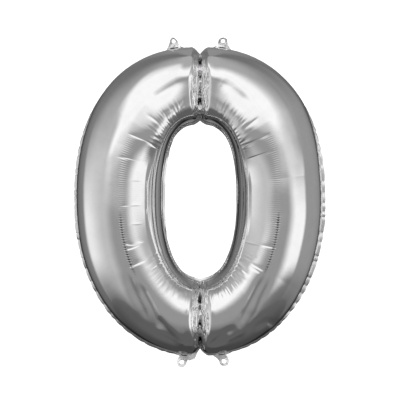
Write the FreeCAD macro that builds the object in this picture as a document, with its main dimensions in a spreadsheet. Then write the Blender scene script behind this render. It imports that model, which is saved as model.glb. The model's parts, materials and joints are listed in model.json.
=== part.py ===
"""Inflated foil number balloon, a zero.

Two sheets of metallised film are heat sealed to each other round the outside of the zero and
round its hole, and gas holds them apart as a ring-shaped tube. A short seal across the ring at
the top and at the bottom pinches the tube in two lobes, with a notch in the outline there.
Four punched tabs stand out of the outer seam, and a short tail beside the lower notch holds a
self-sealing valve: two plies of thin film whose inner ends lie against each other as lips.

Frame, in millimetres: the seams lie in the plane Y = 0, the front faces -Y, +Z is up, and the
origin is the middle of the zero.
"""

import FreeCAD, Part
import os

import Sketcher

DRIVING = {
    "outer_width": 702.0,  # across the seam's outer edge
    "outer_height": 864.0,  # across the seam's outer edge, from lobe to lobe
    "hole_width": 192.0,  # across the seam's edge round the hole
    "hole_height": 424.0,
    "outer_round_upper": 2.30,  # superellipse exponents: 2 is an ellipse, more is squarer
    "outer_round_lower": 2.12,
    "hole_round_upper": 2.60,
    "hole_round_lower": 2.20,
    "seam_width": 9.0,  # heat-sealed margin outside each weld line
    "film_thickness": 0.5,
    "fullness": 0.93,  # depth of the tube over its width
    "crimp_depth": 12.0,  # half depth of the gas passage left at each pinch
    "crimp_length": 50.0,  # from a pinch to where the tube is full
    "notch_depth": 20.0,
    "top_left_tab_offset": 69.0,  # each tab's distance from the middle of the zero
    "top_right_tab_offset": 60.5,
    "bottom_right_tab_offset": 62.0,
    "tail_to_tab_gap": 1.5,  # from the tail to the bottom left tab
    "tab_hole_radius": 6.5,
    "tab_rim": 7.0,  # film round a tab's hole
    "tab_reach": 17.0,  # from a tab's fold to its hole
    "tab_root_width": 27.0,
    "tab_gap": 0.8,  # between the seam's edge and a tab, where the film folds
    "tail_offset": 20.0,  # from the middle of the zero to the tail, on the left
    "tail_side_seal": 3.0,  # on each side of the valve, at the tail's mouth
    "tail_flare": 2.0,  # how much wider each side of the tail is at its root
    "tail_length": 8.0,  # outside the seam's edge
    "valve_film": 0.2,
    "valve_width": 14.0,
    "valve_root": 6.0,  # from the weld line in to where the lips fold
    "lip_length": 85.0,
    "lip_gap": 0.3,  # between a valve film and its lip, where the film folds
    "channel_run_in": 12.0,  # of the valve's channel past the weld line and past the mouth
}
# Angles round the zero from the top, in degrees, of the sections that a half is lofted through.
QUARTER = (0.0, 1.0, 2.6, 5.2, 9.2, 15.0, 23.0, 34.0, 49.0, 68.0)
STATIONS = (*QUARTER, 90.0, *(180.0 - angle for angle in reversed(QUARTER)))
# How much of the notch's depth the first sections beside a pinch keep.
NOTCH_SHARE = (1.0, 0.40)
FRONT, BACK = -1, 1  # the side of the seam plane that a film lies on
TAB_CORNERS = {
    "top_left": (-1, 1),
    "top_right": (1, 1),
    "bottom_left": (-1, -1),
    "bottom_right": (1, -1),
}
# Sizes that follow from the driving ones.
TAB_RADIUS = "(<tab_hole_radius> + <tab_rim>)"
TAIL_MOUTH_WIDTH = "(<valve_width> + 2 * <tail_side_seal>)"
TAIL_ROOT_WIDTH = f"({TAIL_MOUTH_WIDTH} + 2 * <tail_flare>)"
TAIL_MOUTH = "(<seam_width> + <tail_length>)"  # from the weld line out
LIP_ROOT = "(-1 * (<valve_root> + <lip_gap>))"
TAB_OFFSETS = {
    "top_left": "<top_left_tab_offset>",
    "top_right": "<top_right_tab_offset>",
    "bottom_left": f"(<tail_offset> + ({TAIL_ROOT_WIDTH} + <tab_root_width>) / 2 + <tail_to_tab_gap>)",
    "bottom_right": "<bottom_right_tab_offset>",
}
START, END, CENTRE = 1, 2, 3  # the points of a sketch's line or arc
HORIZONTAL_AXIS, VERTICAL_AXIS = -1, -2
Y_AXIS = FreeCAD.Vector(0, 1, 0)

doc = FreeCAD.newDocument("foil_balloon")
dims = doc.addObject("Spreadsheet::Sheet", "Dims")


def fill_spreadsheet():
    for row, (alias, value) in enumerate(DRIVING.items(), start=1):
        dims.set(f"A{row}", alias)
        dims.set(f"B{row}", str(value))
        dims.setAlias(f"B{row}", alias)
    doc.recompute()


def read_from_sheet(text):
    """An expression whose <name>s are the spreadsheet's cells."""
    return text.replace("<", "Dims.").replace(">", "")


def bind(obj, path, text):
    obj.setExpression(path, read_from_sheet(text))


def worth(text):
    """An expression's value now, for the first guess that a sketch's solver starts from."""
    value = dims.evalExpression(read_from_sheet(text))
    return float(getattr(value, "Value", value))


def origin_plane(body, role):
    return next(plane for plane in body.Origin.OriginFeatures if plane.Role == role)


def sketch_on(body, role, name):
    sketch = body.newObject("Sketcher::SketchObject", f"{body.Name}_{name}")
    sketch.AttachmentSupport = [(origin_plane(body, role), "")]
    sketch.MapMode = "FlatFace"
    return sketch


class Outline:
    """A closed chain of lines and arcs in a sketch, held by constraints that read the sheet."""

    def __init__(self, sketch):
        self.sketch = sketch

    def line(self, a, b):
        ends = [FreeCAD.Vector(*point, 0) for point in (a, b)]
        return self.sketch.addGeometry(Part.LineSegment(*ends))

    def arc(self, a, middle, b):
        points = [FreeCAD.Vector(*point, 0) for point in (a, middle, b)]
        return self.sketch.addGeometry(Part.Arc(*points))

    def hold(self, kind, *where):
        return self.sketch.addConstraint(Sketcher.Constraint(kind, *where))

    def drive(self, kind, *where, text):
        index = self.hold(kind, *where, worth(text))
        bind(self.sketch, f"Constraints[{index}]", text)

    def ends_by_x(self, edge):
        """An arc's left end and its right end."""
        return sorted((START, END), key=lambda end: self.sketch.getPoint(edge, end).x)

    def join(self, a, a_end, b, b_end):
        self.hold("Coincident", a, a_end, b, b_end)


def weld_point(station, edge):
    """X and Z of a weld line at a section of the right half, as expressions."""
    angle = STATIONS[station]
    half = "upper" if angle <= 90 else "lower"
    margin = "- <seam_width>" if edge == "outer" else "+ <seam_width>"
    power = f"(2 / <{edge}_round_{half}>)"
    x = f"(<{edge}_width> / 2 {margin}) * sin({angle} deg) ^ {power}"
    z = f"(<{edge}_height> / 2 {margin}) * abs(cos({angle} deg)) ^ {power}"
    from_pinch = min(station, len(STATIONS) - 1 - station)
    if edge == "outer" and from_pinch < len(NOTCH_SHARE):
        z = f"({z} - {NOTCH_SHARE[from_pinch]} * <notch_depth>)"
    return x, z if half == "upper" else f"-1 * {z}"


def film_section(body, side, station):
    """A film's section: an arc between the two weld lines, and a flat seam outside each."""
    x_out, z_out = weld_point(station, "outer")
    x_in, z_in = weld_point(station, "hole")
    half = f"(sqrt(({x_out} - {x_in}) ^ 2 + ({z_out} - ({z_in})) ^ 2) / 2)"
    middle_x = f"(({x_out} + {x_in}) / 2)"
    swell = f"sqrt(1 - (1 - min(1; {middle_x} / <crimp_length>)) ^ 2)"
    depth = f"(<crimp_depth> + (<fullness> * {half} - <crimp_depth>) * {swell})"

    sketch = sketch_on(body, "XY_Plane", f"section_{station}")
    sketch.AttachmentOffset = FreeCAD.Placement(FreeCAD.Vector(), FreeCAD.Rotation(Y_AXIS, 1))
    bind(sketch, ".AttachmentOffset.Base.x", middle_x)
    bind(sketch, ".AttachmentOffset.Base.z", f"({z_out} + ({z_in})) / 2")
    lean = f"atan2({x_out} - {x_in}; {z_out} - ({z_in})) - 90 deg"
    bind(sketch, ".AttachmentOffset.Rotation.Angle", lean)

    w, d = worth(half), worth(depth)
    s, t = worth("<seam_width>"), worth("<film_thickness>")
    outline = Outline(sketch)
    inner = outline.arc((w, 0), (0, side * d), (-w, 0))
    outer = outline.arc((w + t, side * t), (0, side * (d + t)), (-w - t, side * t))
    for arc, reach, ends in (
        (inner, half, outline.ends_by_x(inner)),
        (outer, f"({half} + <film_thickness>)", outline.ends_by_x(outer)),
    ):
        outline.hold("PointOnObject", arc, CENTRE, VERTICAL_AXIS)
        outline.drive("Radius", arc, text=f"({reach} ^ 2 + {depth} ^ 2) / (2 * {depth})")
    for end, out in ((0, -1), (1, 1)):
        face = outline.line((out * w, 0), (out * (w + s), 0))
        rim = outline.line((out * (w + s), 0), (out * (w + s), side * t))
        back = outline.line((out * (w + s), side * t), (out * (w + t), side * t))
        outline.join(inner, outline.ends_by_x(inner)[end], face, START)
        outline.join(face, END, rim, START)
        outline.join(rim, END, back, START)
        outline.join(back, END, outer, outline.ends_by_x(outer)[end])
        outline.hold("Horizontal", face)
        outline.hold("Vertical", rim)
        outline.hold("Horizontal", back)
        outline.hold("PointOnObject", face, START, HORIZONTAL_AXIS)
        outline.drive("Distance", face, text="<seam_width>")
        outline.drive("Distance", rim, text="<film_thickness>")
    outline.drive("DistanceX", HORIZONTAL_AXIS, START, face, START, text=half)
    outline.drive("Distance", back, text="<seam_width> - <film_thickness>")
    return sketch


def edge_frame(offset, upper):
    """X, Z and outward lean of the outer weld line at an offset from the middle, as expressions."""
    across = "(<outer_width> / 2 - <seam_width>)"
    up = "(<outer_height> / 2 - <seam_width>)"
    power = "<outer_round_upper>" if upper else "<outer_round_lower>"
    share = f"({offset} / {across})"
    left = f"(1 - {share} ^ {power})"
    z = f"{up} * {left} ^ (1 / {power})"
    slope = f"{up} / {across} * {share} ^ ({power} - 1) * {left} ^ (1 / {power} - 1)"
    return z, f"atan({slope})"


def stand_on_edge(body, offset, sx, sz, out):
    """Turns a body so that its own +Z leaves the outline there, out from the weld line."""
    z, lean = edge_frame(offset, sz > 0)
    turn = lean if sz > 0 else f"180 deg - {lean}"
    body.Placement = FreeCAD.Placement(FreeCAD.Vector(), FreeCAD.Rotation(Y_AXIS, 1))
    bind(body, ".Placement.Base.x", f"{sx} * ({offset} + {out} * sin({lean}))")
    bind(body, ".Placement.Base.z", f"{sz} * ({z} + {out} * cos({lean}))")
    bind(body, ".Placement.Rotation.Angle", f"{sx} * ({turn})")


def four_sides(sketch, low, low_width, high, high_width):
    """A four-sided outline about the sketch's vertical axis, from one height to another."""
    outline = Outline(sketch)
    z0, w0, z1, w1 = worth(low), worth(low_width) / 2, worth(high), worth(high_width) / 2
    corners = [(-w0, z0), (w0, z0), (w1, z1), (-w1, z1)]
    sides = [outline.line(corners[i], corners[(i + 1) % 4]) for i in range(4)]
    for i, side in enumerate(sides):
        outline.join(side, END, sides[(i + 1) % 4], START)
    for side, width, height in ((sides[0], low_width, low), (sides[2], high_width, high)):
        outline.hold("Symmetric", side, START, side, END, VERTICAL_AXIS)
        outline.drive("Distance", side, text=width)
        outline.drive("DistanceY", HORIZONTAL_AXIS, START, side, START, text=height)


def pad(body, sketch, thickness, side=None):
    """Thickens a sketch of the XZ plane to the front, to the back, or to both sides of it."""
    feature = body.newObject("PartDesign::Pad", f"{sketch.Name}_film")
    feature.Profile = sketch
    feature.Midplane = side is None
    feature.Reversed = side == BACK
    bind(feature, "Length", thickness)
    body.Tip = feature
    return feature


def place_on_tail(sketch, height):
    """Lays a sketch of the XZ plane along the tail, its origin on the weld line."""
    z, lean = edge_frame("<tail_offset>", upper=False)
    normal = FreeCAD.Vector(0, 0, 1)
    sketch.AttachmentOffset = FreeCAD.Placement(FreeCAD.Vector(), FreeCAD.Rotation(normal, 1))
    bind(sketch, ".AttachmentOffset.Base.x", "-1 * <tail_offset>")
    bind(sketch, ".AttachmentOffset.Base.y", f"-1 * ({z})")
    bind(sketch, ".AttachmentOffset.Base.z", height)
    bind(sketch, ".AttachmentOffset.Rotation.Angle", f"180 deg - {lean}")


def film_panel(label, side):
    """One sheet of film, with its seams and its ply of the tail, open where the valve passes."""
    body = doc.addObject("PartDesign::Body", label)
    sections = [film_section(body, side, station) for station in range(len(STATIONS))]
    doc.recompute()
    half = body.newObject("PartDesign::AdditiveLoft", f"{label}_right_half")
    half.Profile = sections[0]
    half.Sections = sections[1:]
    doc.recompute()
    whole = body.newObject("PartDesign::Mirrored", f"{label}_left_half")
    whole.Originals = [half]
    whole.MirrorPlane = (origin_plane(body, "YZ_Plane"), [""])
    body.Tip = whole
    doc.recompute()

    tail = sketch_on(body, "XZ_Plane", "tail")
    place_on_tail(tail, f"{-side} * <valve_film>")
    four_sides(tail, "<film_thickness> / 2", TAIL_ROOT_WIDTH, TAIL_MOUTH, TAIL_MOUTH_WIDTH)
    pad(body, tail, "<film_thickness>", side)
    doc.recompute()

    channel = sketch_on(body, "XZ_Plane", "valve_channel")
    place_on_tail(channel, "0")
    run_out = f"{TAIL_MOUTH} + <channel_run_in>"
    four_sides(channel, "-1 * <channel_run_in>", "<valve_width>", run_out, "<valve_width>")
    before = body.Shape.Volume
    pocket = body.newObject("PartDesign::Pocket", f"{label}_channel")
    pocket.Profile = channel
    pocket.Reversed = side == FRONT
    bind(pocket, "Length", "<valve_film>")
    body.Tip = pocket
    doc.recompute()
    if body.Shape.Volume >= before:
        raise RuntimeError(f"the valve's channel cut nothing out of {label}")
    return body


def hang_tab(corner):
    """A round-ended tab of both films sealed together, with a punched hole, standing on its fold."""
    body = doc.addObject("PartDesign::Body", f"hang_tab_{corner}")
    outline_sketch = sketch_on(body, "XZ_Plane", "outline")
    outline = Outline(outline_sketch)
    half, reach, radius = worth("<tab_root_width>") / 2, worth("<tab_reach>"), worth(TAB_RADIUS)
    root = outline.line((-half, 0), (half, 0))
    right = outline.line((half, 0), (radius, reach))
    head = outline.arc((radius, reach), (0, reach + radius), (-radius, reach))
    left = outline.line((-radius, reach), (-half, 0))
    head_left, head_right = outline.ends_by_x(head)
    outline.join(root, END, right, START)
    outline.join(left, END, root, START)
    outline.hold("Tangent", right, END, head, head_right)
    outline.hold("Tangent", head, head_left, left, START)
    outline.hold("PointOnObject", root, START, HORIZONTAL_AXIS)
    outline.hold("Symmetric", root, START, root, END, VERTICAL_AXIS)
    outline.hold("PointOnObject", head, CENTRE, VERTICAL_AXIS)
    outline.drive("Distance", root, text="<tab_root_width>")
    outline.drive("Radius", head, text=TAB_RADIUS)
    outline.drive("DistanceY", HORIZONTAL_AXIS, START, head, CENTRE, text="<tab_reach>")
    middle = FreeCAD.Vector(0, reach, 0)
    punched = Part.Circle(middle, FreeCAD.Vector(0, 0, 1), worth("<tab_hole_radius>"))
    hole = outline_sketch.addGeometry(punched)
    outline.join(hole, CENTRE, head, CENTRE)
    outline.drive("Radius", hole, text="<tab_hole_radius>")
    pad(body, outline_sketch, "2 * <film_thickness>")
    sx, sz = TAB_CORNERS[corner]
    stand_on_edge(body, TAB_OFFSETS[corner], sx, sz, "(<seam_width> + <tab_gap>)")
    return body


def valve_strip(label, side, low, high):
    """A strip of one valve ply, between two distances outside the weld line."""
    body = doc.addObject("PartDesign::Body", label)
    strip = sketch_on(body, "XZ_Plane", "strip")
    four_sides(strip, low, "<valve_width>", high, "<valve_width>")
    pad(body, strip, "<valve_film>", side)
    stand_on_edge(body, "<tail_offset>", -1, -1, "0")
    return body


def build():
    fill_spreadsheet()
    bodies = [film_panel("front_foil_panel", FRONT), film_panel("back_foil_panel", BACK)]
    bodies += [hang_tab(corner) for corner in TAB_CORNERS]
    for name, side in (("front", FRONT), ("back", BACK)):
        bodies.append(valve_strip(f"valve_{name}_film", side, "-1 * <valve_root>", TAIL_MOUTH))
        tip = f"({LIP_ROOT} - <lip_length>)"
        bodies.append(valve_strip(f"valve_{name}_lip", side, tip, LIP_ROOT))
    doc.recompute()
    return bodies


def check(bodies):
    for obj in doc.Objects:
        if "Invalid" in obj.State or "Error" in obj.State:
            raise RuntimeError(f"{obj.Label} failed: {obj.State}")
    for body in bodies:
        if body.Shape.isNull() or not body.Shape.isValid() or len(body.Shape.Solids) != 1:
            raise RuntimeError(f"{body.Label} isn't one valid solid")


def export(bodies):
    os.makedirs("parts", exist_ok=True)
    for body in bodies:
        body.Shape.exportStep(f"parts/{body.Label}.step")


parts = build()
check(parts)
export(parts)
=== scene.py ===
"""A silver foil balloon in the shape of a zero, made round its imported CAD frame.

Metres, in the frame of the CAD model: the seams lie in the plane Y = 0, the front faces -Y, and
+Z is up. Each sheet of foil is one sheet, laid out as a grid of stations round the ring by
columns across the tube, from the seam round the hole to the seam round the outside.
"""

import json
import math

import bmesh
import bpy
import numpy as np
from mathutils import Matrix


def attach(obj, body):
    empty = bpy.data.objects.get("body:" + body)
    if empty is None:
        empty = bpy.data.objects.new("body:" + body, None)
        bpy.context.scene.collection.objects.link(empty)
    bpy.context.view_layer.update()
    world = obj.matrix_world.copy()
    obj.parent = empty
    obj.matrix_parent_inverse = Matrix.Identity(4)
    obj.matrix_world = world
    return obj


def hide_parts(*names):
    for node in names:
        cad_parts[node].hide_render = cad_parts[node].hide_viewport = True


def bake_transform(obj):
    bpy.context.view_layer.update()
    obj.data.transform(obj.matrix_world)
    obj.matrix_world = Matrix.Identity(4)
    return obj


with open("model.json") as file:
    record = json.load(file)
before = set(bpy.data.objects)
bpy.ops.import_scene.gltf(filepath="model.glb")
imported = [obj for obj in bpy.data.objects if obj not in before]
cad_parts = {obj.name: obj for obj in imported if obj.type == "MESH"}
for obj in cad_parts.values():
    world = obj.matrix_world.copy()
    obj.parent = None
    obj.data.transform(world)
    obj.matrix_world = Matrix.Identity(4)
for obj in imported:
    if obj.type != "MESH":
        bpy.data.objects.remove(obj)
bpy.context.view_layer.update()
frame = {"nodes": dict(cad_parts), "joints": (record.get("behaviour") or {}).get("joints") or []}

MM = 0.001
SHEETS = {"front": -1, "back": 1}  # which way each one faces along Y
TAB_FOLDS = {
    joint["name"].removesuffix("_fold"): joint
    for joint in frame["joints"]
    if joint["child"].startswith("tab_")
}

# The zero's outline, as in the CAD model.
OUTER_ROUND = {1: 2.30, -1: 2.12}  # superellipse exponents of the upper and lower half
HOLE_ROUND = {1: 2.60, -1: 2.20}
HOLE_HALF_WIDTH, HOLE_HALF_HEIGHT = 96.0 * MM, 212.0 * MM
OUTER_HALF_WIDTH, OUTER_HALF_HEIGHT = 351.0 * MM, 432.0 * MM
SEAM_WIDTH = 9.0 * MM
NOTCH_DEPTH, NOTCH_REACH = 20.0 * MM, 24.0 * MM
HOLE_NOTCH_DEPTH = {1: 11.0 * MM, -1: 3.0 * MM}  # at the top and at the bottom
HOLE_NOTCH_REACH = 21.0 * MM
FULLNESS = 0.93

# At angles from the top, in degrees: how far inside that outline the outer weld runs, in
# millimetres, and how far the sealed margin outside the weld leans back, in degrees.
MARGIN_AT = (0, 8, 52, 66, 82, 125, 145, 170, 180)
RIGHT_MARGIN = (6, 4, 4, 8, 13, 12, 7, 5, 6)
LEFT_MARGIN = (6, 4, 4, 6, 7, 7, 6, 5, 6)
RIGHT_LEAN = (60, 80, 80, 30, 5, 10, 35, 55, 60)
LEFT_LEAN = (60, 80, 80, 40, 30, 30, 35, 50, 60)
# How far the sealed margin in the hole leans back, in the same way.
HOLE_LEAN_AT = (0, 40, 70, 95, 115, 150, 180)
RIGHT_HOLE_LEAN = (25, 65, 65, 65, 65, 60, 10)
LEFT_HOLE_LEAN = (25, 60, 20, 20, 60, 60, 10)

HALF_STATIONS = 520  # round the ring, from the top to the bottom
TUBE_COLUMNS = 82  # across the tube
HOLE_SEAM_COLUMNS, OUTER_SEAM_COLUMNS = 2, 4
# Where the columns crowd together: how much, at what share of the half width, and how widely.
COLUMN_CROWDS = ((1.3, -0.03, 0.07), (1.0, -0.6, 0.16), (0.8, 1.0, 0.1), (0.6, -1.0, 0.1))
FILM_GAP = 0.25 * MM
LATTICE = 64  # cells of a noise before it repeats

# Near the top and bottom the tube is flat between two shares of its half width, then square to
# the hole: beside the pinch at the top, further from it, and at the bottom.
PINCH_SHELF, TOP_SHELF, LOW_SHELF = (0.16, -0.32), (-0.08, -0.22), (0.0, 0.0)
SHELF_ROUND, LOW_ROUND = 3.4, 2.5
PINCH_SHELF_SLOPE = 0.10
PINCH_DROP = 0.62  # how far the gathered strip lies below the tube beside it, in half widths
PINCH_NARROW, PINCH_WIDE = 9.0 * MM, 21.0 * MM  # the strip's half width, and what it gains
PINCH_TAPER_IN, PINCH_TAPER_OUT = 1.15, 0.66  # how far towards the hole and outside it gains that

TAB_RADIUS, TAB_HOLE, TAB_THICKNESS = 13.5 * MM, 6.5 * MM, 0.5 * MM
TAIL_AT, TAIL_HALF_WIDTH, TAIL_LENGTH = -20.5 * MM, 11.5 * MM, 8.0 * MM


# ---------------------------------------------------------------- camera, floor and studio


def aim_camera():
    data = bpy.data.cameras.new("studio_camera")
    data.sensor_width = 36.0
    distance, view_width, height = 3.2, 1.111, 0.0035
    data.lens = data.sensor_width * distance / view_width
    data.clip_end = 60.0
    camera = bpy.data.objects.new("studio_camera", data)
    camera.location = (0.0, -distance, height)
    camera.rotation_euler = (math.radians(90), 0, 0)
    bpy.context.scene.collection.objects.link(camera)
    bpy.context.scene.camera = camera


MIX_FIRST, MIX_SECOND, MIX_RESULT = 6, 7, 2  # a Mix node's sockets when it mixes colours


class Nodes:
    """Builds a node tree a line at a time."""

    def __init__(self, tree):
        self.tree = tree

    def add(self, kind, **settings):
        node = self.tree.nodes.new(kind)
        for name, value in settings.items():
            setattr(node, name, value)
        return node

    def link(self, source, target):
        self.tree.links.new(source, target)

    def feed(self, socket, value):
        if hasattr(value, "is_output"):
            self.link(value, socket)
        else:
            socket.default_value = value

    def math(self, operation, a, b=0.0):
        node = self.add("ShaderNodeMath", operation=operation)
        self.feed(node.inputs[0], a)
        self.feed(node.inputs[1], b)
        return node.outputs[0]

    def step(self, value, low, high, start=0.0, end=1.0):
        node = self.add("ShaderNodeMapRange", interpolation_type="SMOOTHSTEP")
        for socket, given in zip(node.inputs, (value, low, high, start, end)):
            self.feed(socket, given)
        return node.outputs[0]

    def band(self, value, low, high, low_soft, high_soft):
        """1 between low and high, falling to 0 over a soft edge on each side."""
        rise = self.step(value, low - low_soft, low + low_soft)
        fall = self.step(value, high - high_soft, high + high_soft, 1.0, 0.0)
        return self.math("MULTIPLY", rise, fall)

    def mix(self, share, first, second):
        """The first colour turning into the second one."""
        node = self.add("ShaderNodeMix", data_type="RGBA")
        self.feed(node.inputs["Factor"], share)
        self.feed(node.inputs[MIX_FIRST], first)
        self.feed(node.inputs[MIX_SECOND], second)
        return node.outputs[MIX_RESULT]


# Each lamp or bright wall: from and to, left and right, in degrees from the camera's side, with
# how soft those two edges are; the same from below to above; and its strength.
LAMPS = {
    "left_wall": ((-106, -28, 6, 14), (-35, 14, 8, 16), 0.30),
    "left_lamp": ((-102, -66, 7, 26), (-24, 3, 7, 9), 0.34),
    "left_high": ((-92, -38, 20, 10), (6, 40, 8, 16), 0.16),
    "right_lamp": ((30, 71, 13, 5), (-22, 6, 6, 9), 0.74),
    "right_high": ((12, 66, 10, 16), (10, 36, 8, 14), 0.28),
    "right_wall": ((72, 137, 6, 9), (-60, 50, 10, 20), 0.08),
    "front_wall": ((-32, 32, 16, 16), (-40, 10, 10, 10), 0.08),
    "over_lamp": ((-34, 28, 10, 26), (5, 36, 8, 14), 0.74),
    "over_left": ((-44, -10, 8, 9), (28, 54, 10, 9), 0.50),
}
FLOOR_EDGE = -35.5  # degrees below level


def light_studio():
    """Soft lamps round a grey room, as the foil mirrors them."""
    world = bpy.data.worlds.new("studio")
    bpy.context.scene.world = world
    world.use_nodes = True
    world.node_tree.nodes.clear()
    n = Nodes(world.node_tree)
    way = n.add("ShaderNodeSeparateXYZ")
    n.link(n.add("ShaderNodeTexCoord").outputs["Generated"], way.inputs[0])
    x, y, z = way.outputs
    turn = n.math("DEGREES", n.math("ARCTAN2", x, n.math("MULTIPLY", y, -1.0)))
    lift = n.math("DEGREES", n.math("ARCSINE", z))
    aside = n.math("ABSOLUTE", turn)

    room = n.step(aside, 105.0, 150.0, 0.23, 0.14)
    ceiling = n.math("ADD", n.step(aside, 10.0, 115.0, 0.42, 0.165),
                     n.step(aside, 140.0, 175.0, 0.0, 0.12))
    high = n.step(lift, 12.0, 55.0)
    level = n.math("ADD", n.math("MULTIPLY", room, n.math("SUBTRACT", 1.0, high)),
                   n.math("MULTIPLY", ceiling, high))
    for across, up, strength in LAMPS.values():
        lamp = n.math("MULTIPLY", n.band(turn, *across), n.band(lift, *up))
        level = n.math("ADD", level, n.math("MULTIPLY", lamp, strength))
    back_wall = n.math("MULTIPLY", n.step(aside, 158.0, 170.0), n.band(lift, -34.0, 30.0, 8.0, 16.0))
    level = n.math("ADD", level, n.math("MULTIPLY", back_wall, 0.08))
    level = n.math("MINIMUM", level, 1.0)
    ground = n.step(aside, 60.0, 150.0, 0.115, 0.06)
    fade = n.math("MULTIPLY", n.step(lift, -46.0, -15.0),
                  n.step(lift, FLOOR_EDGE - 1, FLOOR_EDGE + 1, 0.5, 1.0))
    seen = n.math("ADD", ground, n.math("MULTIPLY", n.math("SUBTRACT", level, ground), fade))
    behind = n.math("MULTIPLY", n.band(aside, 144.0, 166.0, 12.0, 5.0),
                    n.band(lift, -42.0, 14.0, 6.0, 14.0))
    seen = n.math("MULTIPLY", seen, n.math("SUBTRACT", 1.0, n.math("MULTIPLY", behind, 0.85)))

    path = n.add("ShaderNodeLightPath")
    glossy = n.add("ShaderNodeBackground")
    n.link(seen, glossy.inputs["Color"])
    plain = n.add("ShaderNodeBackground")
    plain.inputs["Color"].default_value = (1.0, 1.0, 1.0, 1.0)
    plain.inputs["Strength"].default_value = 1.35
    choose = n.add("ShaderNodeMixShader")
    n.link(path.outputs["Is Glossy Ray"], choose.inputs[0])
    n.link(plain.outputs[0], choose.inputs[1])
    n.link(glossy.outputs[0], choose.inputs[2])
    n.link(choose.outputs[0], n.add("ShaderNodeOutputWorld").inputs["Surface"])
    bpy.context.scene.view_settings.view_transform = "Standard"


def lay_floor():
    size, height = 9.0, -0.66
    mesh = bpy.data.meshes.new("studio_floor")
    corners = [(x * size, y * size, height) for x, y in ((-1, -1), (1, -1), (1, 1), (-1, 1))]
    mesh.from_pydata(corners, [], [(0, 1, 2, 3)])
    floor = bpy.data.objects.new("studio_floor", mesh)
    bpy.context.scene.collection.objects.link(floor)
    paint = bpy.data.materials.new("pale_floor")
    paint.use_nodes = True
    paint.node_tree.nodes.clear()
    n = Nodes(paint.node_tree)
    diffuse = n.add("ShaderNodeBsdfDiffuse")
    diffuse.inputs["Color"].default_value = (0.93, 0.93, 0.93, 1.0)
    n.link(diffuse.outputs[0], n.add("ShaderNodeOutputMaterial").inputs["Surface"])
    mesh.materials.append(paint)
    floor.visible_glossy = False


# ---------------------------------------------------------------- materials

# The near-black colour of the shade painted into creases finer than the mesh.
CREASE_SHADE_COLOUR = (0.07, 0.07, 0.07, 1.0)


def crinkle_group():
    """Fine crinkles of metallised film: a height and a dulling mask, from a place in the object."""
    group = bpy.data.node_groups.new("film_crinkle", "ShaderNodeTree")
    group.interface.new_socket("Place", in_out="INPUT", socket_type="NodeSocketVector")
    group.interface.new_socket("Cells per metre", in_out="INPUT", socket_type="NodeSocketFloat")
    for name in ("Height", "Dulling"):
        group.interface.new_socket(name, in_out="OUTPUT", socket_type="NodeSocketFloat")
    n = Nodes(group)
    given, result = n.add("NodeGroupInput"), n.add("NodeGroupOutput")
    cells = given.outputs["Cells per metre"]
    fine, broad = (n.add("ShaderNodeTexNoise", noise_dimensions="3D") for _ in range(2))
    for noise, scale, detail in ((fine, cells, 2.0), (broad, n.math("MULTIPLY", cells, 0.12), 3.0)):
        n.link(given.outputs["Place"], noise.inputs["Vector"])
        n.link(scale, noise.inputs["Scale"])
        noise.inputs["Detail"].default_value = detail
    height = n.math("ADD", n.math("MULTIPLY", fine.outputs["Fac"], 0.35), broad.outputs["Fac"])
    n.link(height, result.inputs["Height"])
    n.link(n.step(broad.outputs["Fac"], 0.35, 0.75), result.inputs["Dulling"])
    return group


def crinkled_film(name, crinkle, cells, crinkle_height):
    """A new material with fine crinkles: the material, its nodes, its shader and the dulling."""
    made = bpy.data.materials.new(name)
    made.use_nodes = True
    n = Nodes(made.node_tree)
    shader = made.node_tree.nodes["Principled BSDF"]
    film = n.add("ShaderNodeGroup", node_tree=crinkle)
    n.link(n.add("ShaderNodeTexCoord").outputs["Object"], film.inputs["Place"])
    film.inputs["Cells per metre"].default_value = cells
    bump = n.add("ShaderNodeBump")
    bump.inputs["Distance"].default_value = crinkle_height
    n.link(film.outputs["Height"], bump.inputs["Height"])
    n.link(bump.outputs["Normal"], shader.inputs["Normal"])
    return made, n, shader, film.outputs["Dulling"]


def foil_material(name, crinkle, colour, roughness, crinkle_height, cells, dulled):
    """Metallised film: near-mirror silver whose gloss and grain vary a little over the surface.

    A per-point attribute of the sheet darkens it with painted shade, which stands in for the dark
    lines and spots that show in creases finer than the mesh.
    """
    made, n, shader, dulling = crinkled_film(name, crinkle, cells, crinkle_height)
    silver = n.mix(dulling, (*colour, 1.0), (*[c * dulled for c in colour], 1.0))
    # Painted shade: the sheet's per-point attribute mixes the silver towards a near-black colour in
    # creases.
    crease_shade = n.add("ShaderNodeAttribute", attribute_name="crease_shade").outputs["Fac"]
    n.link(n.mix(crease_shade, silver, CREASE_SHADE_COLOUR), shader.inputs["Base Color"])
    n.link(n.step(dulling, 0.0, 1.0, roughness, roughness * 1.8), shader.inputs["Roughness"])
    shader.inputs["Metallic"].default_value = 1.0
    return made


def valve_material(crinkle):
    """Thin clear film, milky where it is folded or touched."""
    made, n, shader, dulling = crinkled_film("clear_valve_film", crinkle, 700.0, 0.1 * MM)
    tint = n.mix(dulling, (0.80, 0.82, 0.84, 1.0), (0.92, 0.93, 0.94, 1.0))
    n.link(tint, shader.inputs["Base Color"])
    n.link(n.step(dulling, 0.0, 1.0, 0.12, 0.30), shader.inputs["Roughness"])
    n.link(n.step(dulling, 0.0, 1.0, 0.45, 0.70), shader.inputs["Alpha"])
    return made


# ---------------------------------------------------------------- the zero's ring


def ramp(value, low, high):
    """Smooth step from 0 at low to 1 at high."""
    t = np.clip((value - low) / (high - low), 0.0, 1.0)
    return t * t * (3.0 - 2.0 * t)


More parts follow.
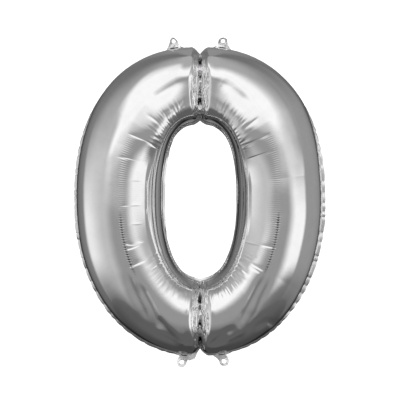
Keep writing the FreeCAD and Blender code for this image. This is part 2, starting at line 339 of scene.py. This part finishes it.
class Noise:
    """Smooth noise from -1 to 1 on a lattice, repeating every `around` cells on its first axis."""

    def __init__(self, seed, around=LATTICE):
        self.lattice = np.random.default_rng(seed).uniform(-1.0, 1.0, (around, LATTICE))

    def __call__(self, u, v):
        u, v = np.broadcast_arrays(u, v)
        i, j = np.floor(u).astype(int), np.floor(v).astype(int)
        s, t = u - i, v - j
        s, t = s * s * (3 - 2 * s), t * t * (3 - 2 * t)
        rows, columns = self.lattice.shape

        def at(di, dj):
            return self.lattice[(i + di) % rows, (j + dj) % columns]

        low = at(0, 0) * (1 - s) + at(1, 0) * s
        high = at(0, 1) * (1 - s) + at(1, 1) * s
        return low * (1 - t) + high * t


def noise_round(seed, cells, along, total, row):
    """Noise along a closed line, in a number of cells that goes once round it."""
    return Noise(seed, cells)(along / total * cells, row)


def weld_curve(angle, half_width, half_height, roundness, margin):
    """X and Z of a weld line on the right half, at angles from the top."""
    upper = np.cos(angle) >= 0
    power = np.where(upper, 2.0 / roundness[1], 2.0 / roundness[-1])
    x = (half_width + margin) * np.abs(np.sin(angle)) ** power
    z = (half_height + margin) * np.abs(np.cos(angle)) ** power
    return x, z, np.where(upper, 1.0, -1.0)


def from_top(angle, side, places, right, left):
    """A value given at some angles from the top, on the right and on the left."""
    degrees = np.degrees(angle)
    return np.where(side > 0, np.interp(degrees, places, right), np.interp(degrees, places, left))


def weld_lines(angle, side, margin):
    """The outer and the hole's weld points, each as an array of X and Z; side is 1 on the right."""
    x, z, up = weld_curve(angle, OUTER_HALF_WIDTH, OUTER_HALF_HEIGHT, OUTER_ROUND, -margin)
    notch = NOTCH_DEPTH * np.clip(1.0 - x / NOTCH_REACH, 0.0, 1.0) ** 1.6
    outer = np.stack([side * x, up * (z - notch)], axis=-1)
    x, z, up = weld_curve(angle, HOLE_HALF_WIDTH, HOLE_HALF_HEIGHT, HOLE_ROUND, SEAM_WIDTH)
    deepest = np.where(up > 0, HOLE_NOTCH_DEPTH[1], HOLE_NOTCH_DEPTH[-1])
    notch = deepest * np.clip(1.0 - x / HOLE_NOTCH_REACH, 0.0, 1.0) ** 1.6
    return outer, np.stack([side * x, up * (z + notch)], axis=-1)


def running_length(points):
    steps = np.linalg.norm(np.diff(points, axis=0), axis=1)
    return np.concatenate([[0.0], np.cumsum(steps)])


class Ring:
    """The stations round the zero, closer together at the pinches and where the foil ripples."""

    def __init__(self):
        angle = np.linspace(0.0, math.pi, 8001)
        outer, hole = weld_lines(angle, 1.0, SEAM_WIDTH)
        middle = (outer + hole) / 2
        # More stations at the pinches, and over the dents in the lower half.
        crowding = 1.0 + 1.8 * np.exp(-((middle[:, 0] / (34 * MM)) ** 2))
        crowding += 1.5 * ramp(middle[:, 1], -0.19, -0.15) * ramp(-middle[:, 1], -0.21, -0.16)
        steps = np.linalg.norm(np.diff(middle, axis=0), axis=1) * (crowding[1:] + crowding[:-1]) / 2
        share = np.concatenate([[0.0], np.cumsum(steps)])
        share /= share[-1]
        half = np.interp(np.linspace(0.0, 1.0, HALF_STATIONS + 1), share, angle)
        self.angle = np.concatenate([half, half[-2:0:-1]])
        self.side = np.concatenate([np.ones(HALF_STATIONS + 1), -np.ones(HALF_STATIONS - 1)])
        plain, _ = weld_lines(self.angle, self.side, SEAM_WIDTH)
        self.free = seam_is_free(plain)
        lean = from_top(self.angle, self.side, MARGIN_AT, RIGHT_LEAN, LEFT_LEAN)
        self.lean = np.radians(lean) * self.free
        hole_lean = from_top(self.angle, self.side, HOLE_LEAN_AT, RIGHT_HOLE_LEAN, LEFT_HOLE_LEAN)
        self.hole_lean = np.radians(hole_lean)
        self.outer_margin = from_top(self.angle, self.side, MARGIN_AT, RIGHT_MARGIN, LEFT_MARGIN) * MM
        self.outer, self.hole = weld_lines(self.angle, self.side, self.outer_margin)
        self.middle = (self.outer + self.hole) / 2
        span = self.outer - self.hole
        self.half = np.linalg.norm(span, axis=1) / 2
        self.across = span / (2 * self.half[:, None])
        closed = [np.concatenate([line, line[:1]]) for line in (self.middle, self.outer, self.hole)]
        lengths = [running_length(line) for line in closed]
        self.total, self.outer_total, self.hole_total = (length[-1] for length in lengths)
        self.along, self.outer_along, self.hole_along = (length[:-1] for length in lengths)
        self.depth = FULLNESS * self.half
        self.radius = (self.half**2 + self.depth**2) / (2 * self.depth)
        self.spread = np.arctan2(self.half, self.radius - self.depth)


def seam_is_free(outer):
    """0 where a tab or the tail joins the outer seam, 1 elsewhere."""
    free = np.ones(len(outer))
    places = [joint["pos_m"] for joint in TAB_FOLDS.values()] + [(TAIL_AT, 0.0, -0.43)]
    for x, _, z in places:
        near = np.hypot(outer[:, 0] - x, outer[:, 1] - z)
        free *= ramp(near, 16 * MM, 28 * MM)
    return free


# ---------------------------------------------------------------- folds and wrinkles of the foil

# Creases on the front: how deep, how wide to each side, and the X, Z that each runs through, in
# millimetres. A negative depth is a ridge.
FRONT_CREASES = (
    (0.45, 1.5, 5.0, (-226, 120), (-187, 114), (-146, 104)),
    (0.9, 1.6, 6.0, (-198, 183), (-147, 163), (-104, 135)),
    (0.8, 1.6, 6.0, (-147, 234), (-93, 200)),
    (0.6, 1.4, 4.0, (-98, 240), (-80, 206)),
    (0.35, 1.2, 3.0, (-190, 56), (-155, 55)),
    (0.35, 1.2, 3.5, (-216, -13), (-155, -10)),
    (0.35, 1.2, 3.5, (-192, -62), (-155, -61)),
    (0.9, 1.5, 3.0, (-212, -112), (-182, -117), (-146, -111)),
    (0.8, 1.5, 4.0, (-207, -131), (-183, -126), (-157, -116)),
    (1.1, 1.6, 4.0, (-194, -180), (-169, -168), (-138, -155)),
    (0.9, 1.5, 3.5, (-126, -148), (-100, -131)),
    (0.7, 1.4, 4.0, (98, 230), (84, 206)),
    (0.7, 1.4, 4.0, (114, 224), (101, 198)),
    (0.9, 1.6, 6.0, (160, 229), (109, 188)),
    (0.9, 1.6, 6.0, (191, 184), (119, 150)),
    (0.7, 1.5, 6.0, (201, 139), (122, 112)),
    (0.7, 1.4, 4.0, (109, -107), (143, -115), (174, -120), (214, -128)),
    (1.1, 1.5, 3.0, (134, -168), (152, -176), (177, -190)),
    (0.8, 1.4, 3.0, (131, -175), (165, -194)),
    (0.8, 1.4, 2.5, (137, -141), (150, -154)),
    (-1.0, 2.4, 5.0, (36, -244), (31, -274), (33, -310)),
    (-1.0, 2.4, 5.0, (-35, -240), (-38, -303)),
    (0.8, 1.6, 5.0, (-49, -308), (-45, -360)),
    (0.8, 2.6, 9.0, (-34, 286), (-55, 250), (-85, 239), (-112, 234)),
    (0.7, 2.6, 9.0, (34, 270), (52, 245), (80, 232)),
)
# Soft hollows and long folds, given in the same way.
FRONT_HOLLOWS = (
    (2.8, 8.0, 20.0, (181, -186), (152, -230), (129, -276), (110, -314), (96, -337)),
    (2.5, 16.0, 7.0, (190, -198), (177, -228), (160, -262), (147, -299), (120, -340)),
    (2.5, 22.0, 8.0, (-197, -183), (-172, -243), (-152, -286), (-130, -335)),
    (4.0, 30.0, 8.0, (-172, -210), (-148, -245), (-131, -278), (-115, -314), (-90, -344), (-44, -386)),
    (-3.5, 9.0, 16.0, (-130, -343), (-102, -352), (-62, -372), (-46, -394)),
    (-3.5, 9.0, 16.0, (62, -376), (92, -362), (116, -351), (130, -352)),
    (4.0, 8.0, 16.0, (142, -351), (157, -341), (182, -328), (196, -334), (206, -349)),
    (4.0, 16.0, 8.0, (19, -399), (41, -381), (72, -354), (103, -337)),
    (2.0, 18.0, 18.0, (-146, 256), (-119, 282), (-85, 305), (-30, 344)),
    (1.8, 18.0, 18.0, (38, 330), (62, 326), (87, 310), (134, 245)),
    (-0.8, 16.0, 16.0, (-262, 90), (-200, 235)),
    (0.7, 16.0, 16.0, (262, 60), (226, 214)),
)
# The first four of those are long sharp folds, with shade painted into the silver's colour along their
# line: how much, and how wide.
DARK_FOLDS = tuple((0.42, 4.5, 4.5, *points) for _, _, _, *points in FRONT_HOLLOWS[:4])
# Narrow folds beside the hole: where each runs on the left and on the right, as a share of the
# tube's half width, how deep it is, in millimetres, and how wide to each side, as a share.
LONG_FOLDS = (
    (-0.455, -0.575, -0.5, 0.012, 0.02),
    (-0.62, -0.71, 1.3, 0.012, 0.03),
    (-0.80, -0.84, 0.5, 0.012, 0.02),
)
BACK_FLIP = -1.0  # the back's creases are the front's, turned about the upright axis


def lines_drawn(x, z, lines, soft):
    """The sum of the creases or hollows at each point, in metres, positive inwards.

    Each fades out towards its two ends, and is gone nine of its widths away.
    """
    total = np.zeros_like(x)
    for deep, tight, loose, *points in lines:
        points = np.array(points) * MM
        lengths = running_length(points)
        nearest, place = np.full(x.shape, 1.0), np.zeros_like(x)
        for start, end, at, after in zip(points, points[1:], lengths, lengths[1:]):
            run = end - start
            span = after - at
            along = np.clip(((x - start[0]) * run[0] + (z - start[1]) * run[1]) / span**2, 0.0, 1.0)
            dx, dz = x - start[0] - along * run[0], z - start[1] - along * run[1]
            away = np.copysign(np.hypot(dx, dz), dx * run[1] - dz * run[0])
            closer = np.abs(away) < np.abs(nearest)
            nearest = np.where(closer, away, nearest)
            place = np.where(closer, at + along * span, place)
        off = np.where(nearest > 0, nearest / tight, -nearest / loose) / MM
        ends = min(0.3 * lengths[-1], 45 * MM)
        fade = ramp(place, 0.0, ends) * ramp(-place, -lengths[-1], ends - lengths[-1])
        shape = np.exp(-(off**2)) if soft else np.exp(-off)
        total += deep * MM * shape * fade * ramp(-off, -9.0, -5.0)
    return total


def pleats(seed, place, length, from_weld, where, pitch, deep, reach, wide):
    """Furrows that run in from a weld line, one every so often along it, in metres.

    The least and the most of their pitch, depth, reach and width are given in millimetres.
    """
    pitch, deep, reach, wide = (np.array(pair) * MM for pair in (pitch, deep, reach, wide))
    draw = np.random.default_rng(seed)
    total = np.zeros_like(from_weld)
    at = 0.0
    while at < length - pitch[0]:
        deep_now, reach_now, wide_now = (draw.uniform(*pair) for pair in (deep, reach, wide))
        skew = draw.uniform(-0.25, 0.25)
        off = place[:, None] + skew * from_weld - at
        off = np.abs((off + length / 2) % length - length / 2)
        fade = np.clip(1.0 - from_weld / reach_now, 0.0, 1.0) ** 1.4
        total += deep_now * fade * np.exp(-off / (wide_now + 0.10 * from_weld))
        at += draw.uniform(*pitch)
    return total * where


class Sheet:
    """One sheet of foil, front or back: where its grid of points lies."""

    def __init__(self, ring, name):
        self.ring, self.name, self.side = ring, name, SHEETS[name]
        self.seed = 20 if name == "front" else 60
        even = np.linspace(-1.0, 1.0, 4001)
        crowding = np.ones_like(even)
        for extra, at, wide in COLUMN_CROWDS:
            crowding += extra * np.exp(-(((even - at) / wide) ** 2))
        filled = np.cumsum(crowding) - crowding[0]
        self.share = np.interp(np.linspace(0.0, filled[-1], TUBE_COLUMNS + 1), filled, even)[None, :]
        self.turn = self.share * ring.spread[:, None]
        self.from_outer = ring.radius[:, None] * (ring.spread[:, None] - self.turn)
        self.from_hole = ring.radius[:, None] * (ring.spread[:, None] + self.turn)
        self.creased = np.zeros(self.turn.shape, bool)  # where the facets are left flat
        self.crease_shade = np.zeros(self.turn.shape)  # how much painted shade darkens the silver

    # Paints shade into the silver's colour, keeping the darkest of each mark.
    def darken(self, amount):
        self.crease_shade = np.maximum(self.crease_shade, amount)

    def noise(self, number, cells, row):
        return noise_round(self.seed + number, cells, self.ring.along[:, None], self.ring.total, row)

    def profile(self):
        """Each point's place across the tube and its height; near the top it is full to the hole."""
        r = self.ring
        s = r.radius[:, None] * np.sin(self.turn)
        h = r.radius[:, None] * np.cos(self.turn) - (r.radius - r.depth)[:, None]
        place = s / r.half[:, None]
        low = r.middle[:, 1:] < 0
        pinched = np.exp(-((r.middle[:, :1] / (85 * MM)) ** 2)) * ~low
        crown, edge = (np.where(low, base, away + (close - away) * pinched)
                       for close, away, base in zip(PINCH_SHELF, TOP_SHELF, LOW_SHELF))
        outer = np.clip((place - crown) / (1.0 - crown), 0.0, 1.0)
        inner = np.clip((edge - place) / (1.0 + edge), 0.0, 1.0)
        power = np.where(low, LOW_ROUND, SHELF_ROUND)
        full = np.sqrt(1.0 - outer**2) * (1.0 - inner**power) ** (1.0 / power)
        full *= 1.0 - PINCH_SHELF_SLOPE * pinched * np.clip(crown - place, 0.0, 1.0)
        near_end = np.where(low, 0.8, 1.0) * ramp(np.abs(r.middle[:, 1:]), 0.05, 0.26)
        return s, h + (r.depth[:, None] * full - h) * near_end

    def tube(self):
        r = self.ring
        s, h = self.profile()
        x = r.middle[:, :1] + r.across[:, :1] * s
        z = r.middle[:, 1:] + r.across[:, 1:] * s
        height, gather = self.pinch(x, s, h)
        out = self.swell(x, z) + gather
        near_seam = np.exp(-self.from_outer / (16 * MM))
        x = x + r.across[:, :1] * out * np.sin(self.turn)
        z = z + r.across[:, 1:] * out * np.sin(self.turn)
        y = self.side * np.maximum(height + out * np.cos(self.turn), 0.0)
        y += self.sway()[:, None] * near_seam
        return np.stack([x, y, z], axis=-1)

    def pinch(self, x, s, h):
        """The tube's height where it is gathered at the top and bottom, and the gathers' own.

        The gathers are streaks along the tube, coarse and fine, with sharp grooves between them
        and a deep cleft down the middle in places; shade is painted into the silver's colour along
        the cleft and the grooves.
        """
        r = self.ring
        part = s / r.half[:, None]
        taper = np.where(part < 0, PINCH_TAPER_IN, PINCH_TAPER_OUT)
        reach = PINCH_NARROW + PINCH_WIDE * np.exp(-((part / taper) ** 2))
        rise = np.clip(np.abs(x) / reach, 0.0, 1.0)
        drop = np.minimum(PINCH_DROP * reach, 0.6 * h) * (1.0 - rise) ** 1.1
        arc = r.radius[:, None] * self.turn
        streak, fine, wander, spots = (Noise(self.seed + k) for k in (8, 9, 10, 11))
        bent = x + 4.0 * MM * wander(arc / (45 * MM) + 20, 0.5)
        bent += 0.8 * MM * wander(arc / (11 * MM) + 20, 7.5)
        aside = bent + 0.2
        coarse = 1.0 - 2.4 * np.abs(streak(aside / (7.5 * MM), arc / (60 * MM) + 20))
        detail = 1.0 - 2.4 * np.abs(fine(aside / (3.4 * MM), arc / (30 * MM) + 20))
        cleft = np.clip(0.25 + 1.1 * spots(arc / (30 * MM) + 20, 0.5), 0.0, 1.0)
        cleft = cleft * np.exp(-((bent / (2.6 * MM)) ** 2))
        crossing = np.abs(streak((bent - 3.0 * MM) / (6.5 * MM), arc / (60 * MM) + 40))
        grooves = np.clip(1.0 - crossing / 0.16, 0.0, 1.0)
        band = np.exp(-((x / (0.82 * reach)) ** 6))
        self.creased |= (band > 0.3) & (rise < 0.9)
        # Painted shade in the cleft and the grooves of the gathered strip.
        self.darken(band * np.clip(1.5 * cleft - 0.75 + 0.5 * grooves, 0.0, 0.85))
        near = np.minimum(self.from_outer, self.from_hole)
        height = 2.2 * coarse + 0.35 * detail - 3.5 * grooves - 20.0 * cleft
        return h - drop, band * ramp(near, 0.0, 9 * MM) * MM * height

    def swell(self, x, z):
        """How far the foil stands out from its smooth shape, in metres."""
        r, seed = self.ring, self.seed
        upright = ramp(-np.abs(r.middle[:, 1]), -0.215, -0.165)[:, None]
        clear = ramp(np.abs(x), 30 * MM, 60 * MM)
        out = -pleats(seed + 1, r.outer_along, r.outer_total, self.from_outer, clear,
                      pitch=(22, 38), deep=(0.4, 1.3), reach=(8, 26), wide=(1.4, 2.4))
        out -= pleats(seed + 2, r.hole_along, r.hole_total, self.from_hole,
                      clear * (1.0 - 0.85 * upright),
                      pitch=(6, 12), deep=(0.4, 1.3), reach=(12, 50), wide=(1.2, 2.0))
        out += self.fans(upright, clear)
        out += self.ripples(upright, z)
        out += self.long_folds(upright, clear)
        out += 0.6 * MM * clear * self.noise(4, 22, self.share * 2.2 + 5)
        flip = 1.0 if self.name == "front" else BACK_FLIP
        out -= lines_drawn(flip * x, z, FRONT_CREASES, soft=False)
        out -= lines_drawn(flip * x, z, FRONT_HOLLOWS, soft=True)
        # Painted shade along the long sharp folds, darker than their geometry alone makes them.
        self.darken(lines_drawn(flip * x, z, DARK_FOLDS, soft=True) / MM)
        return out

    def fans(self, upright, clear):
        """Short streaks across the tube on the half towards the hole, where the ring turns."""
        r = self.ring
        band = ramp(self.share, -0.84, -0.66) * ramp(-self.share, 0.22, 0.46)
        low = ramp(-r.middle[:, 1], -0.05, 0.17)[:, None]
        streaks = 1.0 - 2.0 * np.abs(self.noise(3, 250, self.share * 3.0 + 9))
        return MM * (0.45 + 0.5 * low) * streaks * band * clear * (1.0 - upright)

    def ripples(self, upright, z):
        """Fine ripples that end at the tube's crown, on the half towards the hole.

        Below the middle a row of short ticks runs down the crown, where they end: small steps in the
        foil, made dark by shade painted into the silver's colour.
        """
        r = self.ring
        phase = r.along[:, None] / (5.9 * MM) + 0.4 * self.noise(5, 40, self.share * 4.0)
        patch = 0.75 + 0.5 * self.noise(6, 26, self.share * 3.0)
        start = ramp(-self.share, 0.01, 0.05)
        crown = start * ramp(self.share, -0.12, -0.06)
        height = start * (0.014 + 0.016 * ramp(self.share, -0.22, -0.06))
        height = height * ramp(self.share, -0.56, -0.38)
        height = height * (1.0 + 1.5 * ramp(z, 0.03, 0.07)) * patch
        dots = ramp(-z, 0.02, 0.06) * crown * np.clip(patch, 0.6, 1.2)
        steps = 1.0 - (z / (6.6 * MM)) % 1.0
        self.creased |= dots * upright > 0.3
        core = dots * upright * np.exp(-(((self.share + 0.055) / 0.021) ** 2))
        # Painted shade: the ticks at the crown darkened in the silver's colour.
        self.darken(np.clip(core * (0.35 + 1.3 * ramp(steps, 0.3, 0.6)), 0.0, 0.97))
        return MM * (height * np.sin(2 * math.pi * phase) - 0.4 * dots * steps) * upright

    def long_folds(self, upright, clear):
        """Narrow folds that run beside the hole, along the tube."""
        left = (self.ring.side < 0)[:, None]
        total = np.zeros(self.turn.shape)
        for number, (on_left, on_right, deep, tight, loose) in enumerate(LONG_FOLDS):
            line = np.where(left, on_left, on_right) + 0.010 * self.noise(7, 16, number * 7.0)
            off = self.share - line
            total -= deep * MM * np.exp(-np.where(off > 0, off / tight, -off / loose))
        return total * (0.35 + 0.65 * upright) * clear

    def sway(self):
        """How far the outer seam waves out of its plane, the same for both sheets."""
        r = self.ring
        return noise_round(5, 66, r.outer_along, r.outer_total, 0.5) * 2.2 * MM * r.free

    def outer_seam(self):
        """The heat-sealed margin outside the tube: scalloped, and wider beside the tabs."""
        r = self.ring
        bumps = 84
        drift = noise_round(9, bumps, r.outer_along, r.outer_total, 2.5)
        place = r.outer_along / r.outer_total * bumps + 0.8 * drift
        arch = np.abs(np.sin(math.pi * place)) ** 0.6
        scallop = arch * (2.2 + 1.2 * drift) * MM - 1.2 * MM
        width = r.outer_margin + (0.75 * SEAM_WIDTH - r.outer_margin + scallop) * r.free
        visible = np.maximum(r.outer_margin - SEAM_WIDTH, 0.0) * r.free
        for joint in TAB_FOLDS.values():
            x, _, z = joint["pos_m"]
            toward_notch = x - math.copysign(8 * MM, x)
            off = np.hypot(r.outer[:, 0] - toward_notch, r.outer[:, 1] - z) / (17 * MM)
            extra = 4.5 if z < 0 else 1.0
            width += extra * MM * np.exp(-(off**4))
        tail = (r.outer[:, 1] < 0) * np.exp(-(((r.outer[:, 0] - TAIL_AT) / TAIL_HALF_WIDTH) ** 10))
        width += visible + TAIL_LENGTH * tail
        open_by = 0.9 * MM * tail
        flute = 1.6 * MM * (arch - 0.5) * r.free
        waves = self.sway() - flute
        return self.margin(r.outer, r.across, width, waves, OUTER_SEAM_COLUMNS, r.lean, open_by)

    def hole_seam(self):
        """The heat-sealed margin that stands into the hole."""
        r = self.ring
        wave = noise_round(12, 60, r.hole_along, r.hole_total, 0.5)
        width = SEAM_WIDTH + 0.8 * MM * wave
        waves, shut = 0.6 * MM * wave, np.zeros_like(wave)
        rim = self.margin(r.hole, -r.across, width, waves, HOLE_SEAM_COLUMNS, r.hole_lean, shut)
        return rim[:, ::-1]

    def margin(self, weld, away, width, sway, columns, lean, open_by):
        """Points from just outside a weld line to the rim, where the two sheets meet."""
        share = np.linspace(0.0, 1.0, columns + 1)[None, 1:]
        reach = width[:, None] * share
        x = weld[:, :1] + away[:, :1] * reach * np.cos(lean)[:, None]
        z = weld[:, 1:] + away[:, 1:] * reach * np.cos(lean)[:, None]
        apart = self.side * (FILM_GAP * (share < 0.99) + open_by[:, None] * share**2)
        y = sway[:, None] * (1.0 + 0.5 * share) + reach * np.sin(lean)[:, None] + apart
        return np.stack([x, y, z], axis=-1)

    def points(self):
        return np.concatenate([self.hole_seam(), self.tube(), self.outer_seam()], axis=1)


def grid_faces(rows, columns, closed=False, flip=False):
    """Quads of a grid that closes on itself round its rows, and round its columns if closed."""
    i, j = np.meshgrid(np.arange(rows), np.arange(columns if closed else columns - 1), indexing="ij")
    row, next_row, next_j = i * columns, ((i + 1) % rows) * columns, (j + 1) % columns
    quads = np.stack([row + j, next_row + j, next_row + next_j, row + next_j], axis=-1).reshape(-1, 4)
    return quads[:, ::-1] if flip else quads


def new_piece(name, points, faces, materials, slots=None, creased=None):
    mesh = bpy.data.meshes.new(name)
    mesh.from_pydata(points.reshape(-1, 3).tolist(), [], faces.tolist())
    for material in materials:
        mesh.materials.append(material)
    if slots is not None:
        mesh.polygons.foreach_set("material_index", slots.astype(np.int32))
    smooth = np.ones(len(mesh.polygons), bool) if creased is None else ~creased
    mesh.polygons.foreach_set("use_smooth", smooth)
    mesh.update()
    piece = bpy.data.objects.new(name, mesh)
    bpy.context.scene.collection.objects.link(piece)
    return piece


def make_sheet(ring, name, materials):
    sheet = Sheet(ring, name)
    points = sheet.points()
    rows, columns = points.shape[:2]
    faces = grid_faces(rows, columns, flip=name == "back")
    column = np.tile(np.arange(columns - 1), rows)
    sealed = (column < HOLE_SEAM_COLUMNS) | (column >= columns - 1 - OUTER_SEAM_COLUMNS)
    seams = (HOLE_SEAM_COLUMNS, OUTER_SEAM_COLUMNS)
    creased = np.pad(sheet.creased[:, :-1], ((0, 0), seams)).ravel()
    piece = new_piece(f"{name}_foil_sheet", points, faces, materials, sealed, creased)
    # The shade painted into creases, stored on each point for the foil material.
    crease_shade = np.pad(sheet.crease_shade, ((0, 0), seams)).astype(np.float32).ravel()
    piece.data.attributes.new("crease_shade", "FLOAT", "POINT").data.foreach_set("value", crease_shade)
    return piece


def tab_reach(lateral, down, root_half_width, root_down):
    """How far the tab's edge is from its hole's centre in each direction, by trying radii."""
    tries = np.linspace(TAB_HOLE, 1.6 * root_down, 400)[:, None]
    side, below = np.abs(tries * lateral), tries * down
    flare = np.clip(below / root_down, 0.0, 1.0) ** 1.7
    allowed = TAB_RADIUS + (root_half_width - TAB_RADIUS) * flare
    round_end = np.sqrt(np.maximum(TAB_RADIUS**2 - np.minimum(below, 0.0) ** 2, 0.0))
    inside = (side <= np.where(below > 0, allowed, round_end)) & (below <= root_down)
    inside &= (below > 0) | (tries <= TAB_RADIUS)
    return tries[np.cumprod(inside, axis=0).sum(axis=0) - 1, 0]


def make_tab(name, joint, material, seed, shift, curl, twist, rumple):
    """A film tab with a punched hole, bent as it hangs, blended across its fold."""
    fold, axis = np.array(joint["pos_m"]), np.array(joint["axis"])
    out = np.array([-axis[2], 0.0, axis[0]]) * math.copysign(1.0, fold[2])
    centre_out, root_in, root_half_width = 17.15 * MM, 5.0 * MM, 17.0 * MM
    count, rings = 72, 9
    angle = np.linspace(0.0, 2 * math.pi, count, endpoint=False)
    lateral, down = np.cos(angle), -np.sin(angle)
    edge = tab_reach(lateral, down, root_half_width, centre_out + root_in)
    share = np.linspace(0.0, 1.0, rings)[None, :]
    radius = TAB_HOLE + (edge[:, None] - TAB_HOLE) * share
    side, height = radius * lateral[:, None], centre_out - radius * down[:, None]
    lift = np.maximum(height, 0.0)
    wave = Noise(seed)
    side = side + shift * np.clip(-(height - centre_out) / centre_out, 0.0, 1.3) ** 2
    bumps = wave(side / (6 * MM) + 20, height / (7 * MM) + 20)
    bumps += 0.5 * wave(side / (2.5 * MM) + 9, height / (3 * MM) + 9)
    turned = twist * lift
    bend = -curl * lift**2 + side * np.sin(turned) + rumple * MM * bumps * ramp(lift, 0.0, 8 * MM)
    side = side * np.cos(turned)
    short = lift - 0.5 * curl**2 * lift**3
    height = np.where(height > 0, np.maximum(short, 0.35 * lift), height)
    place = fold + side[..., None] * axis + height[..., None] * out
    place[..., 1] += bend
    front, back = place.copy(), place[:, ::-1].copy()
    front[..., 1] -= TAB_THICKNESS / 2
    back[..., 1] += TAB_THICKNESS / 2
    loop = np.concatenate([front, back], axis=1)
    faces = grid_faces(*loop.shape[:2], closed=True)
    piece = new_piece(f"{name}_tab_film", loop, faces, (material,))
    mesh = bmesh.new()
    mesh.from_mesh(piece.data)
    bmesh.ops.recalc_face_normals(mesh, faces=mesh.faces)
    mesh.to_mesh(piece.data)
    mesh.free()
    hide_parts(f"hang_tab_{name}")
    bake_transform(piece)


# Each tab: the seed of its rumples, how far its root leans to one side, how it curls forward, per
# metre, how it twists, in radians per metre, and how rumpled it is, in millimetres.
TAB_LOOKS = {
    "top_left": (39, -5.0 * MM, 20.0, 38.0, 0.8),
    "top_right": (40, 5.0 * MM, -14.0, -20.0, 2.6),
    "bottom_left": (42, 8.0 * MM, 4.0, 6.0, 0.35),
    "bottom_right": (43, -8.0 * MM, 3.0, -5.0, 0.35),
}

aim_camera()
light_studio()
lay_floor()

crinkle = crinkle_group()
silver = foil_material("silver_foil", crinkle, (0.95, 0.945, 0.95), 0.045, 0.10 * MM, 240.0, 0.96)
sealed = foil_material("sealed_foil", crinkle, (0.95, 0.95, 0.955), 0.20, 0.05 * MM, 220.0, 0.92)
clear = valve_material(crinkle)

ring = Ring()
for name in SHEETS:
    piece = make_sheet(ring, name, (silver, sealed))
    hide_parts(f"{name}_foil_panel")
    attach(piece, "balloon")
for name, looks in TAB_LOOKS.items():
    make_tab(name, TAB_FOLDS[name], sealed, *looks)
for name, node in frame["nodes"].items():
    node.data.materials.clear()
    node.data.materials.append(clear if name.startswith("valve") else sealed)
